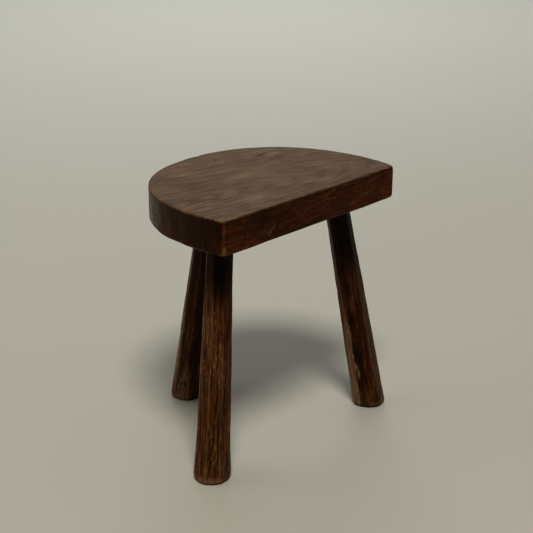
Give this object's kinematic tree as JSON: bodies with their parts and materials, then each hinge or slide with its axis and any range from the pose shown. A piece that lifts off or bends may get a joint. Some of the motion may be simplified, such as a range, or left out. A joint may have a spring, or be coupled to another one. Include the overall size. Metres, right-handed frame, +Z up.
{
  "type": "milking stool",
  "caption": "Low wooden milking stool: a thick half-moon seat on splayed, tapered, faceted legs tenoned into blind sockets.",
  "frame": {"origin": "on the floor, at the middle of the footprint of the whole stool", "axes": "+Z up, +X along the seat's straight front edge, +Y from that edge towards the round back"},
  "size_m": [0.2913, 0.2142, 0.3],
  "materials": {
    "seat_wood": "dark stained hardwood, dry and matte on the worn top, waxed and slightly glossy on the edges",
    "leg_wood": "dark stained hardwood, shaved facets with a soft wax sheen, lighter where the stain has rubbed off",
    "wedge_wood": "plain unstained hardwood, split and shaved"
  },
  "bodies": {
    "root": {"seat": "seat_wood", "leg_front_left": "leg_wood", "leg_front_right": "leg_wood", "leg_back": "leg_wood", "wedge_front_left": "wedge_wood", "wedge_front_right": "wedge_wood", "wedge_back": "wedge_wood"}
  },
  "joints": []
}
